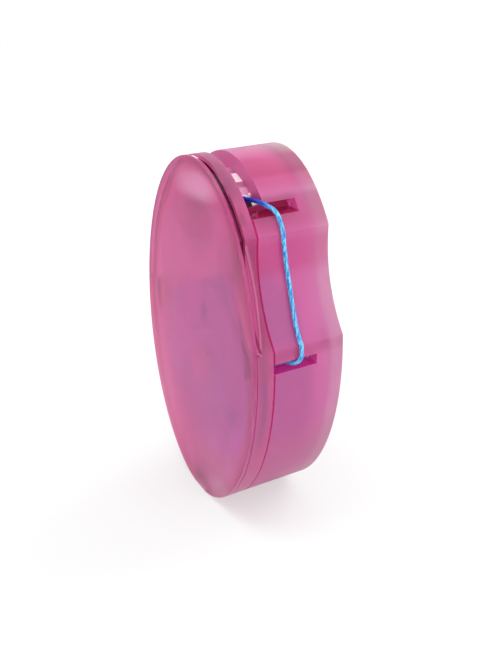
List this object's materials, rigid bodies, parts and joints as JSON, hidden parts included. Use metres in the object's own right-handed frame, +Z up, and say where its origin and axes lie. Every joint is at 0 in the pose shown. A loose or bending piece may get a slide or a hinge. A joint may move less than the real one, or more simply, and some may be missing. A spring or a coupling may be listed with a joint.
{
  "type": "dental floss dispenser",
  "caption": "Upright oval floss dispenser with a push-fit lid, a bobbin inside, a finger recess crossed by the strand, and a steel cutter tooth.",
  "frame": {"origin": "middle of the case's box on the flat of its foot", "axes": "+Z up the oval's long way, +Y from the front lid to the back wall, +X towards the finger recess"},
  "size_m": [0.0436, 0.018, 0.0679],
  "materials": {
    "lid_plastic": "frosted translucent pink",
    "frame_plastic": "translucent pink, polished edges",
    "shell_plastic": "translucent pink, satin",
    "axle_plastic": "natural white moulding",
    "felt": "pressed felt",
    "bobbin_plastic": "blue moulding",
    "floss": "waxed twisted nylon",
    "pin_steel": "drawn",
    "block_plastic": "translucent pink",
    "strip_steel": "mirror polished"
  },
  "bodies": {
    "case": {"front_frame": "frame_plastic", "rear_shell": "shell_plastic", "spool_axle": "axle_plastic", "axle_cap": "axle_plastic", "drag_washer": "felt", "floss_strand": "floss", "guide_pin": "pin_steel", "cutter_block": "block_plastic", "cutter_strip": "strip_steel"},
    "lid": {"front_lid": "lid_plastic"},
    "spool": {"bobbin": "bobbin_plastic", "bobbin_flange": "bobbin_plastic", "floss_core": "floss", "floss_winding": "floss"}
  },
  "joints": [
    {"name": "lid_pull", "type": "slide", "parent": "case", "child": "lid", "axis": [0, -1, 0], "range_m": [0, 0.012]},
    {"name": "spool_spin", "type": "hinge", "parent": "case", "child": "spool", "pos_m": [0, 0, 0.02705], "axis": [0, 1, 0], "continuous": true}
  ]
}
